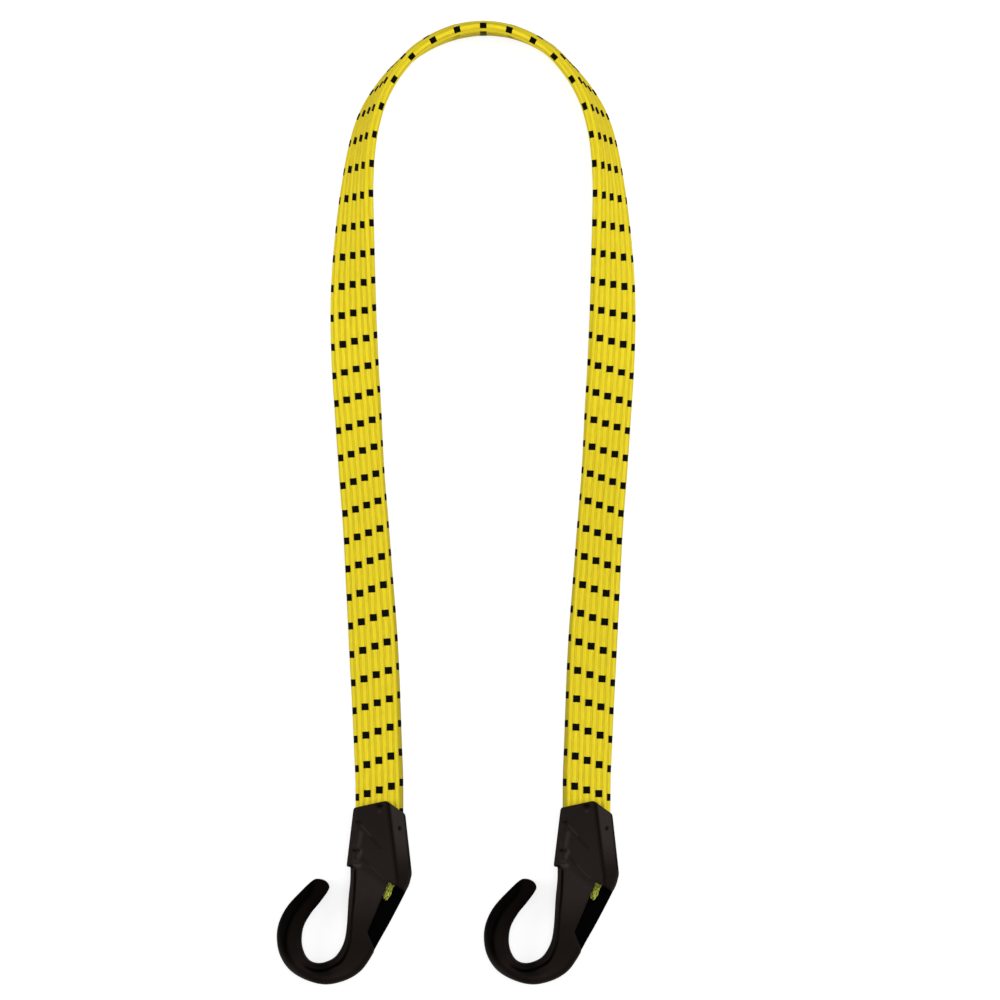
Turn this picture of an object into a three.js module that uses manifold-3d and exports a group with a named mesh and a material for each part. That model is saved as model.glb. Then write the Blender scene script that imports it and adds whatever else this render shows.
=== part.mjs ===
import * as THREE from 'three';
import { mergeVertices } from 'three/addons/utils/BufferGeometryUtils.js';
import Module from 'manifold-3d';

// Flat elastic cord with a moulded hook on each end, lying folded in a U. Millimetres, +Z up.
// X is measured from the cord's mirror line and Y from the mouths of the sockets; the last lines
// move the origin to the middle of the hooks' underside.

const wasm = await Module();
wasm.setup();

// Band: a woven sleeve round a row of rubber strands
const BAND_WIDTH = 18.6;
const BAND_THICKNESS = 4.6;
const SLEEVE_WALL = 0.6;
const VALLEY_DEPTH = 0.3; // how far the sleeve sinks between two strands
const STRAND_COUNT = 4;
const FIT_GAP = 0.3; // between pieces that seat on each other

// Route of the band's middle from the left socket's mouth to the crown of the bend:
// x, y and the turn of its face from lying flat, in degrees. The right half mirrors it.
const LEFT_ROUTE = [
  [-40.4, 0, 0],
  [-40.5, 12, 0],
  [-41.0, 24, 0],
  [-41.8, 44, -5],
  [-42.9, 65.5, -10],
  [-44.3, 87.4, -14],
  [-45.7, 109.2, -17],
  [-47.4, 131.0, -16],
  [-48.7, 153.0, -8],
  [-50.0, 174.7, 3],
  [-50.6, 196.6, 17],
  [-50.2, 218.4, 35],
  [-49.1, 240.2, 52],
  [-47.2, 256.6, 63],
  [-44.3, 268.3, 70],
  [-39.9, 278.0, 79],
  [-33.6, 287.0, 86],
  [-25.0, 295.3, 91],
  [-13.0, 301.3, 94],
];
const CROWN = [0, 303.5, 94.5];
const LEG_LENGTH = 258; // from a mouth to where the leg meets the bend
const FLEX_LENGTH = 12; // from a mouth to where the band flexes
const RISE_LENGTH = 46; // from a mouth to where the band lies on the surface

// Facets
const LEG_STEPS = 24;
const BEND_STEPS = 20;
const EDGE_STEPS = 6; // round an edge of the sleeve
const STRAND_SIDES = 6;
const ARC_STEPS = 11; // round the bowl: leaves one facet square to the pull at its bottom
const SHANK_STEPS = 4;
const TIP_STEPS = 3;
const ARM_CORNER_STEPS = 2;
const END_CORNER_STEPS = 3; // on the band's ends and the crimps

// Socket of the hook, in the hook's own frame: Y = 0 at the mouth, Z = 0 on the middle plane
const SOCKET_WALL = 2.9; // over the band's faces
const MOUTH_WALL = 0.4; // beside the band's edges at the mouth
const SOCKET_LENGTH = 23.6; // down to the end of the ear on the left
const SOCKET_CORNER = -26.4; // where the right side turns in towards the bowl
const FLARE_LEFT = 2.9; // how much wider each side is at the ear's end than at the mouth
const FLARE_RIGHT = 2.4;
const MOUTH_PEAK = 1.9; // height of the mouth's three corners
const MOUTH_LEFT = -0.7;
const MOUTH_RIGHT = -2.7;
const RIDGE_AT_MOUTH = 3.5; // where the front face breaks into the right bevel
const RIDGE_AT_EAR = 6.4;
const LEFT_BEVEL_AT_MOUTH = 1.4; // width of the left bevel
const LEFT_BEVEL_AT_EAR = 4.8;
const LEFT_HEIGHT = 8.6; // of the upright sides between the bevels
const RIGHT_HEIGHT = 6.0;

// Shank, bowl and arm of the hook
const EAR_STEP = 1.6; // the ear overhangs the shank by this
const SHANK_LAP = 0.6; // how far the shank runs up into the ear
const SHANK_SHOULDER = [9.8, -33.0]; // where the outer side leaves the socket
const SOCKET_LAP = 3.0; // how far the socket runs down over the shank there
const BOWL_DROP = 52.6; // from the mouth to the bowl's middle
const BOWL_OFFSET = 22.3; // from the socket's middle line to the bowl's middle
const BOWL_RADIUS = 8.3;
const BACK_RADIUS = 19.5; // of the hook's outer curve
const ARM_WIDTH = 9.6; // at the left of the bowl
const SEAT_WIDTH = 8.6; // under the bowl
const ARM_THICKNESS = 8.6;
const TIP_WIDTH = 7.9;
const TIP_RISE = 20.9; // of the arm's end over the bowl's middle
const TIP_OFFSET = -1.2; // of the arm's end from the bowl's middle
const TIP_TURN = 47; // degrees that the arm's end points up from +X
const TIP_ROUND = 2.7;
const ARM_HOLLOW = 1.1; // of the arm's inner side between its end and the bowl
const ARM_ROUND = 3.1; // edge rounding on the arm and on the shank
const SHANK_ROUND = 1.5;
const ARC_START = 140; // degrees round the bowl where the arm's straight end begins
const INNER_ARC_END = 360;
const OUTER_ARC_END = 333;
const ARM_MIDDLE = 0.45; // share of the way along the arm where its hollow is deepest
const SHANK_GROWN = 0.75; // share of the way up the shank where it is as thick as the socket
const MOST_ROUND = 0.72; // share of half a thickness that an edge rounding may take

// Slanted ribs on the front of the socket: start x, start y, run in x, run in y
const RIBS = [
  [-8.2, -5.9, 9.0, -10.1],
  [-9.3, -16.8, 11.3, -11.7],
];
const RIB_WIDTH = 1.3;
const RIB_HEIGHT = 0.35;
const RIB_ROOT = 1.6; // how deep a rib goes into the socket

// Band end, crimp and pocket
const CRIMP_TOP = -12.5; // height of the crimp's upper rim
const CRIMP_LENGTH = 8;
const CRIMP_WALL = 0.9;
const CRIMPED_WIDTH = 13.2; // of the band inside the crimp
const CRIMPED_THICKNESS = 4.4;
const GATHER_LENGTH = 5.6; // over which the band narrows to the crimp
const TONGUE_START = [4.6, -29.6]; // where the band's gathered end comes out, and its tip
const TONGUE_TIP = [1.5, -37.2];
const TONGUE_WIDTH = 5.2;
const TONGUE_TIP_WIDTH = 2.8;
const TONGUE_THICKNESS = 3.6;
const END_ROUND = 1.7; // edge rounding of the band's ends, limited by their width
const POCKET_TOP = [3.6, -29.4]; // inner side of the pocket, from its top to its foot
const POCKET_FOOT = [-4.7, -48.9];
const POCKET_LOWER_RUN = [2.6, -6.9]; // direction of its lower end
const POCKET_UPPER_RUN = [6.1, -3.6]; // direction of its upper end
const POCKET_REACH = 4; // each end runs on this many times its run, past the outer side

// Sizes that follow from these
const HALF_THICKNESS = BAND_THICKNESS / 2;
const EDGE_CENTRE = BAND_WIDTH / 2 - HALF_THICKNESS;
const STRAND_RADIUS = HALF_THICKNESS - SLEEVE_WALL - FIT_GAP;
const STRAND_PITCH = (2 * EDGE_CENTRE) / (STRAND_COUNT - 1);
const HOOK_HALF = HALF_THICKNESS + FIT_GAP + SOCKET_WALL;
const MOUTH_HALF = BAND_WIDTH / 2 + FIT_GAP + MOUTH_WALL;
const HOOK_X = -LEFT_ROUTE[0][0];

// Steps of the calculation
const MERGE_DISTANCE = 1e-4;
const ROUTE_DIVISIONS = 1200;
const ROUTE_NUDGE = 1e-4;

const materials = {
  sleeve: { color: 0xe8d20a, roughness: 0.75, metalness: 0 },
  strand: { color: 0xb9a98a, roughness: 0.6, metalness: 0 },
  hook: { color: 0x1c1918, roughness: 0.45, metalness: 0 },
  crimp: { color: 0x9a9c9e, roughness: 0.35, metalness: 1 },
};

function named(name, geometry, kind) {
  const mesh = new THREE.Mesh(geometry, new THREE.MeshStandardMaterial(materials[kind]));
  mesh.name = name;
  return mesh;
}

// Booleans and lofts

function solidOf(geometry) {
  const plain = geometry.clone();
  plain.deleteAttribute('normal');
  plain.deleteAttribute('uv');
  const merged = mergeVertices(plain, MERGE_DISTANCE);
  const vertProperties = Float32Array.from(merged.attributes.position.array);
  const triVerts = Uint32Array.from(merged.index.array);
  return new wasm.Manifold(new wasm.Mesh({ numProp: 3, vertProperties, triVerts }));
}

function geometryOf(solid) {
  const mesh = solid.getMesh();
  const geometry = new THREE.BufferGeometry();
  const position = new THREE.BufferAttribute(Float32Array.from(mesh.vertProperties), 3);
  geometry.setAttribute('position', position);
  geometry.setIndex(new THREE.BufferAttribute(Uint32Array.from(mesh.triVerts), 1));
  geometry.computeVertexNormals();
  return geometry;
}

// Skin over rings of equally many points, closed by a fan over each end ring
function loft(rings) {
  const count = rings[0].length;
  const index = [];
  for (let ring = 0; ring + 1 < rings.length; ring += 1) {
    for (let i = 0; i < count; i += 1) {
      const a = ring * count + i;
      const b = ring * count + ((i + 1) % count);
      index.push(a, b, b + count, a, b + count, a + count);
    }
  }
  const last = (rings.length - 1) * count;
  for (let i = 1; i + 1 < count; i += 1) {
    index.push(0, i + 1, i, last, last + i, last + i + 1);
  }
  const geometry = new THREE.BufferGeometry().setFromPoints(rings.flat());
  geometry.setIndex(index);
  return geometry;
}

// Outline with round corners, counter-clockwise
function roundedOutline(halfWidth, halfHeight, corner, steps) {
  const points = [];
  for (let quarter = 0; quarter < 4; quarter += 1) {
    const right = quarter === 0 || quarter === 3 ? 1 : -1;
    const up = quarter < 2 ? 1 : -1;
    for (let i = 0; i <= steps; i += 1) {
      const angle = (quarter + i / steps) * (Math.PI / 2);
      points.push(new THREE.Vector2(
        right * (halfWidth - corner) + corner * Math.cos(angle),
        up * (halfHeight - corner) + corner * Math.sin(angle),
      ));
    }
  }
  return points;
}

function prism(points, bottom, top) {
  const shape = new THREE.Shape(points.map(([x, y]) => new THREE.Vector2(x, y)));
  const geometry = new THREE.ExtrudeGeometry(shape, { depth: top - bottom, bevelEnabled: false });
  return geometry.translate(0, 0, bottom);
}

// Band route

const mirrored = LEFT_ROUTE.map(([x, y, turn]) => [-x, y, turn]).reverse();
const routePoints = [...LEFT_ROUTE, CROWN, ...mirrored];
const plan = new THREE.CatmullRomCurve3(routePoints.map(([x, y]) => new THREE.Vector3(x, y, 0)));
plan.arcLengthDivisions = ROUTE_DIVISIONS;
const turns = new THREE.SplineCurve(routePoints.map(([, , turn], i) => new THREE.Vector2(i, turn)));
const routeLength = plan.getLength();

// Middle of the band: its lower edge lies on the surface, and it rises to the socket near a hook
function centreAt(t) {
  const centre = plan.getPoint(t);
  const turn = turnAt(t);
  const lying = EDGE_CENTRE * Math.abs(Math.sin(turn)) + HALF_THICKNESS;
  const down = THREE.MathUtils.smoothstep(centre.y, FLEX_LENGTH, RISE_LENGTH);
  centre.z = THREE.MathUtils.lerp(HOOK_HALF, lying, down);
  return centre;
}

function turnAt(t) {
  return THREE.MathUtils.degToRad(turns.getPoint(t).y);
}

// Place on the route at a length from the left mouth: its middle, direction and face
function placeAt(length) {
  const t = plan.getUtoTmapping(length / routeLength);
  const before = centreAt(Math.max(0, t - ROUTE_NUDGE));
  const along = centreAt(Math.min(1, t + ROUTE_NUDGE)).sub(before).normalize();
  const outward = new THREE.Vector3(0, 0, 1).cross(along).normalize();
  const upright = new THREE.Vector3().crossVectors(along, outward);
  const turn = turnAt(t);
  const face = upright.multiplyScalar(Math.cos(turn)).addScaledVector(outward, Math.sin(turn));
  const across = new THREE.Vector3().crossVectors(face, along);
  return { centre: centreAt(t), along, face, across };
}

// A stretch of the route, with the frames that turn a section with the band
class BandStretch extends THREE.Curve {
  constructor(from, to) {
    super();
    this.from = from;
    this.to = to;
  }

  lengthAt(u) {
    return THREE.MathUtils.lerp(this.from, this.to, u);
  }

  getPoint(u, target = new THREE.Vector3()) {
    return target.copy(placeAt(this.lengthAt(u)).centre);
  }

  getSpacedPoints(divisions) {
    return Array.from({ length: divisions + 1 }, (_, i) => this.getPoint(i / divisions));
  }

  computeFrenetFrames(segments) {
    const places = [];
    for (let i = 0; i <= segments; i += 1) {
      places.push(placeAt(this.lengthAt(i / segments)));
    }
    return {
      tangents: places.map((place) => place.along),
      normals: places.map((place) => place.across),
      binormals: places.map((place) => place.face),
    };
  }
}

// Sleeve and strands

function strandCentre(i) {
  return (i - (STRAND_COUNT - 1) / 2) * STRAND_PITCH;
}

// Half circle round one edge of the band
function edgeArc(radius) {
  const points = [];
  for (let i = 0; i <= EDGE_STEPS; i += 1) {
    const angle = (i / EDGE_STEPS - 0.5) * Math.PI;
    points.push([EDGE_CENTRE + radius * Math.cos(angle), radius * Math.sin(angle)]);
  }
  return points;
}

// Half of the sleeve's outline: round edge, then crests over the strands and valleys between
function sleeveHalf(height, valleyDepth) {
  const points = edgeArc(height);
  for (let i = STRAND_COUNT - 1; i > 0; i -= 1) {
    points.push([strandCentre(i) - STRAND_PITCH / 2, height - valleyDepth]);
    if (i > 1) points.push([strandCentre(i - 1), height]);
  }
  return points;
}

// A half outline and the same half turned by 180 degrees
function bothHalves(half) {
  return [1, -1].flatMap((side) => half.map(([x, y]) => new THREE.Vector2(side * x, side * y)));
}

function sleeveSection() {
  const shape = new THREE.Shape(bothHalves(sleeveHalf(HALF_THICKNESS, VALLEY_DEPTH)));
  shape.holes.push(new THREE.Path(bothHalves(sleeveHalf(HALF_THICKNESS - SLEEVE_WALL, VALLEY_DEPTH))));
  return shape;
}

function strandSection(i) {
  const points = [];
  for (let side = 0; side < STRAND_SIDES; side += 1) {
    const angle = (side / STRAND_SIDES) * 2 * Math.PI;
    const x = strandCentre(i) + STRAND_RADIUS * Math.cos(angle);
    points.push(new THREE.Vector2(x, STRAND_RADIUS * Math.sin(angle)));
  }
  return new THREE.Shape(points);
}

function stretchPieces(label, from, to, steps) {
  const extrudePath = new BandStretch(from, to);
  const sweep = (section) => new THREE.ExtrudeGeometry(section, { steps, extrudePath });
  const pieces = [named(`sleeve_${label}`, sweep(sleeveSection()), 'sleeve')];
  for (let i = 0; i < STRAND_COUNT; i += 1) {
    pieces.push(named(`strand_${label}_${i + 1}`, sweep(strandSection(i)), 'strand'));
  }
  return pieces;
}

// Hook: arm, bowl and shank as a loft between the inner and the outer outline

const rad = THREE.MathUtils.degToRad;
const bowlCentre = new THREE.Vector2(-BOWL_OFFSET, -BOWL_DROP);
const backCentre = new THREE.Vector2(
  bowlCentre.x - BOWL_RADIUS - ARM_WIDTH + BACK_RADIUS,
  bowlCentre.y - BOWL_RADIUS - SEAT_WIDTH + BACK_RADIUS,
);
const shankLeft = -MOUTH_HALF - FLARE_LEFT + EAR_STEP;

function onCircle(centre, radius, degrees) {
  const angle = rad(degrees);
  return new THREE.Vector2(radius * Math.cos(angle), radius * Math.sin(angle)).add(centre);
}

// Inner and outer outline points, from the arm's end round the bowl to the socket
function hookStations() {
  const tip = new THREE.Vector2(bowlCentre.x + TIP_OFFSET, bowlCentre.y + TIP_RISE);
  const ahead = new THREE.Vector2(Math.cos(rad(TIP_TURN)), Math.sin(rad(TIP_TURN)));
  const inward = new THREE.Vector2(ahead.y, -ahead.x);
  const stations = [];
  for (let i = 0; i < TIP_STEPS; i += 1) {
    const turn = (1 - (i + 0.5) / TIP_STEPS) * (Math.PI / 2);
    const middle = tip.clone().addScaledVector(ahead, TIP_ROUND * Math.sin(turn));
    const drawnIn = TIP_ROUND * (1 - Math.cos(turn));
    const reach = TIP_WIDTH / 2 - drawnIn;
    stations.push({
      inner: middle.clone().addScaledVector(inward, reach),
      outer: middle.clone().addScaledVector(inward, -reach),
      half: ARM_THICKNESS / 2 - drawnIn,
      round: Math.min(ARM_ROUND, MOST_ROUND * reach),
    });
  }
  const armEnd = {
    inner: tip.clone().addScaledVector(inward, TIP_WIDTH / 2),
    outer: tip.clone().addScaledVector(inward, -TIP_WIDTH / 2),
  };
  const hollow = onCircle(bowlCentre, BOWL_RADIUS, ARC_START).lerp(armEnd.inner, ARM_MIDDLE);
  stations.push({
    inner: hollow.addScaledVector(inward, -ARM_HOLLOW),
    outer: onCircle(backCentre, BACK_RADIUS, ARC_START).lerp(armEnd.outer, ARM_MIDDLE),
    half: ARM_THICKNESS / 2,
    round: ARM_ROUND,
  });
  for (let i = 0; i <= ARC_STEPS; i += 1) {
    const u = i / ARC_STEPS;
    const innerTurn = THREE.MathUtils.lerp(ARC_START, INNER_ARC_END, u);
    const outerTurn = THREE.MathUtils.lerp(ARC_START, OUTER_ARC_END, u);
    stations.push({
      inner: onCircle(bowlCentre, BOWL_RADIUS, innerTurn),
      outer: onCircle(backCentre, BACK_RADIUS, outerTurn),
      half: ARM_THICKNESS / 2,
      round: ARM_ROUND,
    });
  }
  const foot = stations[stations.length - 1];
  const top = {
    inner: new THREE.Vector2(shankLeft, -SOCKET_LENGTH + SHANK_LAP),
    outer: new THREE.Vector2(...SHANK_SHOULDER),
  };
  for (let i = 1; i <= SHANK_STEPS; i += 1) {
    const u = i / SHANK_STEPS;
    const grown = THREE.MathUtils.smoothstep(u, 0, SHANK_GROWN);
    stations.push({
      inner: foot.inner.clone().lerp(top.inner, u),
      outer: foot.outer.clone().lerp(top.outer, u),
      half: THREE.MathUtils.lerp(ARM_THICKNESS / 2, HOOK_HALF, grown),
      round: THREE.MathUtils.lerp(ARM_ROUND, SHANK_ROUND, grown),
    });
  }
  return stations;
}

function hookArm() {
  const rings = hookStations().map(({ inner, outer, half, round }) => {
    const middle = inner.clone().add(outer).multiplyScalar(0.5);
    const reach = outer.clone().sub(inner);
    const halfWidth = reach.length() / 2;
    reach.normalize();
    const corner = Math.min(round, MOST_ROUND * half);
    return roundedOutline(halfWidth, half, corner, ARM_CORNER_STEPS).map((point) => {
      const place = middle.clone().addScaledVector(reach, point.x);
      return new THREE.Vector3(place.x, place.y, -point.y);
    });
  });
  return loft(rings);
}

// Socket: a flared block with a bevel on each side, cut to the peaked mouth and the slanted foot
function socketBlock() {
  const ring = (y, grown) => {
    const left = -MOUTH_HALF - FLARE_LEFT * grown;
    const right = MOUTH_HALF + FLARE_RIGHT * grown;
    const bevel = THREE.MathUtils.lerp(LEFT_BEVEL_AT_MOUTH, LEFT_BEVEL_AT_EAR, grown);
    const ridge = THREE.MathUtils.lerp(RIDGE_AT_MOUTH, RIDGE_AT_EAR, grown);
    const leftHalf = LEFT_HEIGHT / 2;
    const rightHalf = RIGHT_HEIGHT / 2;
    return [
      [left, leftHalf], [left + bevel, HOOK_HALF], [ridge, HOOK_HALF], [right, rightHalf],
      [right, -rightHalf], [ridge, -HOOK_HALF], [left + bevel, -HOOK_HALF], [left, -leftHalf],
    ].map(([x, z]) => new THREE.Vector3(x, y, z));
  };
  const corner = MOUTH_HALF - (FLARE_RIGHT * SOCKET_CORNER) / SOCKET_LENGTH;
  const turnedIn = new THREE.Vector2(SHANK_SHOULDER[0] - corner, SHANK_SHOULDER[1] - SOCKET_CORNER);
  const lap = new THREE.Vector2(...SHANK_SHOULDER).addScaledVector(turnedIn.normalize(), SOCKET_LAP);
  const left = -MOUTH_HALF - FLARE_LEFT;
  const ends = [lap.y - FIT_GAP, MOUTH_PEAK];
  const block = loft(ends.map((y) => ring(y, -y / SOCKET_LENGTH)));
  const outline = prism([
    [-MOUTH_HALF, MOUTH_LEFT], [left - FIT_GAP, MOUTH_LEFT], [left - FIT_GAP, -SOCKET_LENGTH],
    [shankLeft, -SOCKET_LENGTH], [lap.x, lap.y], [corner, SOCKET_CORNER],
    [corner, MOUTH_RIGHT], [MOUTH_HALF, MOUTH_RIGHT], [RIDGE_AT_MOUTH, MOUTH_PEAK],
  ], -HOOK_HALF - FIT_GAP, HOOK_HALF + FIT_GAP);
  return solidOf(block).intersect(solidOf(outline));
}

// A low roof-shaped rib on the front face, which ends as a small ledge on the left bevel
function slantedRib([x, y, runX, runY]) {
  const length = Math.hypot(runX, runY);
  const half = RIB_WIDTH / 2;
  const profile = [[-half, -RIB_ROOT], [half, -RIB_ROOT], [half, 0], [0, RIB_HEIGHT], [-half, 0]];
  const rib = prism(profile, 0, length);
  rib.rotateX(Math.PI / 2).rotateZ(Math.atan2(runY, runX) + Math.PI / 2);
  return solidOf(rib.translate(x, y, HOOK_HALF));
}

// Rings of the band's end, from the flex point through the crimp to the tongue's tip
function bandEndRings(grow, reach) {
  const stations = [
    [0, FLEX_LENGTH - FIT_GAP, BAND_WIDTH, BAND_THICKNESS],
    [0, CRIMP_TOP + GATHER_LENGTH, BAND_WIDTH, BAND_THICKNESS],
    [0, CRIMP_TOP, CRIMPED_WIDTH, CRIMPED_THICKNESS],
    [0, CRIMP_TOP - CRIMP_LENGTH, CRIMPED_WIDTH, CRIMPED_THICKNESS],
    [...TONGUE_START, TONGUE_WIDTH, TONGUE_THICKNESS],
    [TONGUE_TIP[0], TONGUE_TIP[1] - reach, TONGUE_TIP_WIDTH, TONGUE_THICKNESS],
  ];
  return stations.map(([x, y, width, thickness]) => {
    const corner = Math.min(END_ROUND, (MOST_ROUND * width) / 2, (MOST_ROUND * thickness) / 2) + grow;
    const outline = roundedOutline(width / 2 + grow, thickness / 2 + grow, corner, END_CORNER_STEPS);
    return outline.map((point) => new THREE.Vector3(x + point.x, y, -point.y));
  }).reverse();
}

function crimpOutline(grow) {
  const halfWidth = CRIMPED_WIDTH / 2 + FIT_GAP + grow;
  const halfHeight = CRIMPED_THICKNESS / 2 + FIT_GAP + grow;
  return roundedOutline(halfWidth, halfHeight, END_ROUND + FIT_GAP + grow, END_CORNER_STEPS);
}

function crimpRing(outer, inner, top, bottom) {
  const shape = new THREE.Shape(outer);
  if (inner) shape.holes.push(new THREE.Path(inner));
  const ring = new THREE.ExtrudeGeometry(shape, { depth: top - bottom, bevelEnabled: false });
  return ring.rotateX(Math.PI / 2).translate(0, top, 0);
}

function crimp() {
  const outer = crimpOutline(CRIMP_WALL);
  return crimpRing(outer, crimpOutline(0), CRIMP_TOP, CRIMP_TOP - CRIMP_LENGTH);
}

// Pocket on the lower right, open to the front and to the outer side
function pocket() {
  const run = ([x, y], [dx, dy]) => [x + POCKET_REACH * dx, y + POCKET_REACH * dy];
  const floor = -TONGUE_THICKNESS / 2 - FIT_GAP;
  return prism([
    POCKET_TOP, POCKET_FOOT, run(POCKET_FOOT, POCKET_LOWER_RUN), run(POCKET_TOP, POCKET_UPPER_RUN),
  ], floor, HOOK_HALF + FIT_GAP);
}

function hookBody() {
  let body = solidOf(hookArm()).add(socketBlock());
  for (const rib of RIBS) body = body.add(slantedRib(rib));
  const room = crimpOutline(CRIMP_WALL + FIT_GAP);
  const chamber = crimpRing(room, null, CRIMP_TOP + FIT_GAP, CRIMP_TOP - CRIMP_LENGTH - FIT_GAP);
  const passage = loft(bandEndRings(FIT_GAP, FIT_GAP));
  body = body.subtract(solidOf(passage)).subtract(solidOf(chamber)).subtract(solidOf(pocket()));
  return geometryOf(body);
}

function hookPieces(side, x) {
  const group = new THREE.Group();
  group.position.set(x, 0, HOOK_HALF);
  group.add(named(`hook_${side}`, hookBody(), 'hook'));
  group.add(named(`crimp_${side}`, crimp(), 'crimp'));
  group.add(named(`band_end_${side}`, loft(bandEndRings(0, 0)), 'sleeve'));
  return group;
}

// Assembly

const cord = new THREE.Group();
const seam = FIT_GAP / 2;
const rightLeg = routeLength - LEG_LENGTH;
cord.add(...stretchPieces('left', FLEX_LENGTH, LEG_LENGTH - seam, LEG_STEPS));
cord.add(...stretchPieces('bend', LEG_LENGTH + seam, rightLeg - seam, BEND_STEPS));
cord.add(...stretchPieces('right', rightLeg + seam, routeLength - FLEX_LENGTH, LEG_STEPS));
const leftHook = hookPieces('left', -HOOK_X);
const rightHook = hookPieces('right', HOOK_X);
cord.add(leftHook, rightHook);

// Origin at the middle of the hooks' underside
cord.updateMatrixWorld(true);
const hooks = new THREE.Box3().setFromObject(leftHook.children[0]);
hooks.union(new THREE.Box3().setFromObject(rightHook.children[0]));
const middle = hooks.getCenter(new THREE.Vector3());
cord.position.set(-middle.x, -middle.y, -hooks.min.z);

const part = new THREE.Group();
part.add(cord);
export default part;
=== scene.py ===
"""Flat elastic cord with a moulded hook on each end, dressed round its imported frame. Metres, +Z up."""

import math

import bpy
import numpy as np
import openvdb
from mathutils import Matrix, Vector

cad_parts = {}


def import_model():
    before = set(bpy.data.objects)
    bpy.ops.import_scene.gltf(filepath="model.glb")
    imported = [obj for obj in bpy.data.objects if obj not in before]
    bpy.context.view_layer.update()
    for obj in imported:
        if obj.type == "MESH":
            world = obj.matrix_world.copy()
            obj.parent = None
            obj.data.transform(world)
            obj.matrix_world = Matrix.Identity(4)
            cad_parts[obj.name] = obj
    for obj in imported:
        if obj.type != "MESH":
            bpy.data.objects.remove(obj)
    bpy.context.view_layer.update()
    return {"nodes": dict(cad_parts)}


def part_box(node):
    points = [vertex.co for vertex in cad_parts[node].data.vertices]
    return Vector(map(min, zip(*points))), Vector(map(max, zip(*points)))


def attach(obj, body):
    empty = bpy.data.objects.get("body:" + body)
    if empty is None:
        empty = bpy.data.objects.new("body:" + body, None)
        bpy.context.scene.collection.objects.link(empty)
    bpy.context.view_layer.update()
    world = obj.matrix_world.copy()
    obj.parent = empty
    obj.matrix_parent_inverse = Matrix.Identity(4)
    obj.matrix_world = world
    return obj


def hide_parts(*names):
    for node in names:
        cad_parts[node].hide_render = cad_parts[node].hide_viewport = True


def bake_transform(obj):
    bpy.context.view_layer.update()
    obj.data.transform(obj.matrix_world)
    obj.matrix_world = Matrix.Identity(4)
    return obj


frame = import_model()

MM = 0.001
SIDES = {"left": -1, "right": 1}  # with the sign of the lengths and rows on that side

# Route of the band's middle from the left socket to the crown of the bend: x and y from the mirror
# line and the sockets' mouths, in metres, and the turn of the band's face from lying flat, in
# degrees. The right half mirrors it, but stands straighter next to the crown.
LEFT_ROUTE = [
    (-0.0404, -0.0200, 0),
    (-0.0404, 0.0000, 0),
    (-0.0405, 0.0120, 0),
    (-0.0410, 0.0240, 0),
    (-0.0418, 0.0440, -5),
    (-0.0429, 0.0655, -10),
    (-0.0443, 0.0874, -14),
    (-0.0457, 0.1092, -17),
    (-0.0474, 0.1310, -16),
    (-0.0487, 0.1530, -8),
    (-0.0500, 0.1747, 3),
    (-0.0506, 0.1966, 17),
    (-0.0502, 0.2184, 35),
    (-0.0491, 0.2402, 52),
    (-0.0472, 0.2566, 63),
    (-0.0443, 0.2683, 70),
    (-0.0399, 0.2780, 79),
    (-0.0336, 0.2870, 86),
    (-0.0250, 0.2953, 91),
    (-0.0130, 0.3013, 94),
]
CROWN = (0.0, 0.3035, 94)
RIGHT_CROWN = [(0.0130, 0.3016, 91.5), (0.0251, 0.2956, 88.5)]
ROUTE_SAMPLES = 60  # on each stretch between two points
ROUTE_RUN_IN = 20 * MM  # the route begins this far inside a mouth
FLEX_LENGTH = 12 * MM  # from a mouth to where the band flexes
RISE_LENGTH = 46 * MM  # from a mouth to where the band lies on the surface
END_GAP = 0.3 * MM  # the frame's band end stops this short of the flex point

# Band
BAND_WIDTH = 18.6 * MM
EDGE_RADIUS = 2.3 * MM
SLEEVE_WALL = 0.6 * MM
EDGE_CENTRE = BAND_WIDTH / 2 - EDGE_RADIUS
STRAND_RADIUS = 1.4 * MM
STRAND_COUNT = 4
STRAND_SIDES = 16
STRAND_STEP = 3 * MM
RIB_PITCH = 4.667 * MM  # from one strand to the next
RIB_DEPTH = 0.16 * MM  # half the depth of the furrow between two ribs
RIB_STEP = 0.10 * MM  # half of what each second rib stands lower

# Weave: nine columns of tracer squares round the band, in rows counted from the crown. The lists
# give a value for every few rows: how far a row lies past its even place, how far the columns have
# moved round the band, how much wider each half of the band is, and how far each column lags behind
# the one on its inner side.
COLUMNS = 9
ROW_PITCH = 11.02 * MM
ROW_SLIP = np.array([0.0, -2.2, -0.3, 1.75, 2.25, 1.8, 0.35, -0.45, -0.2, 0.1, 1.1]) * MM
COLUMN_DRIFT = np.array([0.65, 2.1, 1.7, 1.0, 0.45, 0.35, 0.45, 0.25, 0.25, 0.2, -0.15]) * MM
BAND_SPREAD = np.array([-0.1, 0.0, 0.15, 0.1, -0.1, -0.12, -0.1, 0.1, 0.38, 0.1, 0.0]) * MM
ROW_LAG = np.array([0.0, 2.3, 1.4, 0.97, 1.05, 1.16, 1.25, 1.32, 1.36, 1.4, 1.42]) * MM
ROWS_PER_VALUE = 3  # from one value to the next
INNER_COLUMN = 2  # the column on the inner edge, which leads
BACK_LAG = 0.8  # share of the lag on the back
COLUMN_CELLS = 12
ROW_CELLS = 20
SQUARE_CELLS = (7, 5)  # of a tracer square, across and along
RAISED_CELLS = (6, 4)  # of its raised middle
SQUARE_RISE = 0.05 * MM
SQUARE_HALF = 0.3  # columns from a square's middle over which a row doesn't slant
INNER_SKIP = 10  # rows of cells for one on the inside of the sleeve

# Where the sleeve is cut, in rows; the cuts fall between two rows of squares
BEND_ROWS = 6.525
LEAD_ROWS = 26.525
SOCKET_ROWS = 30.425

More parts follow.
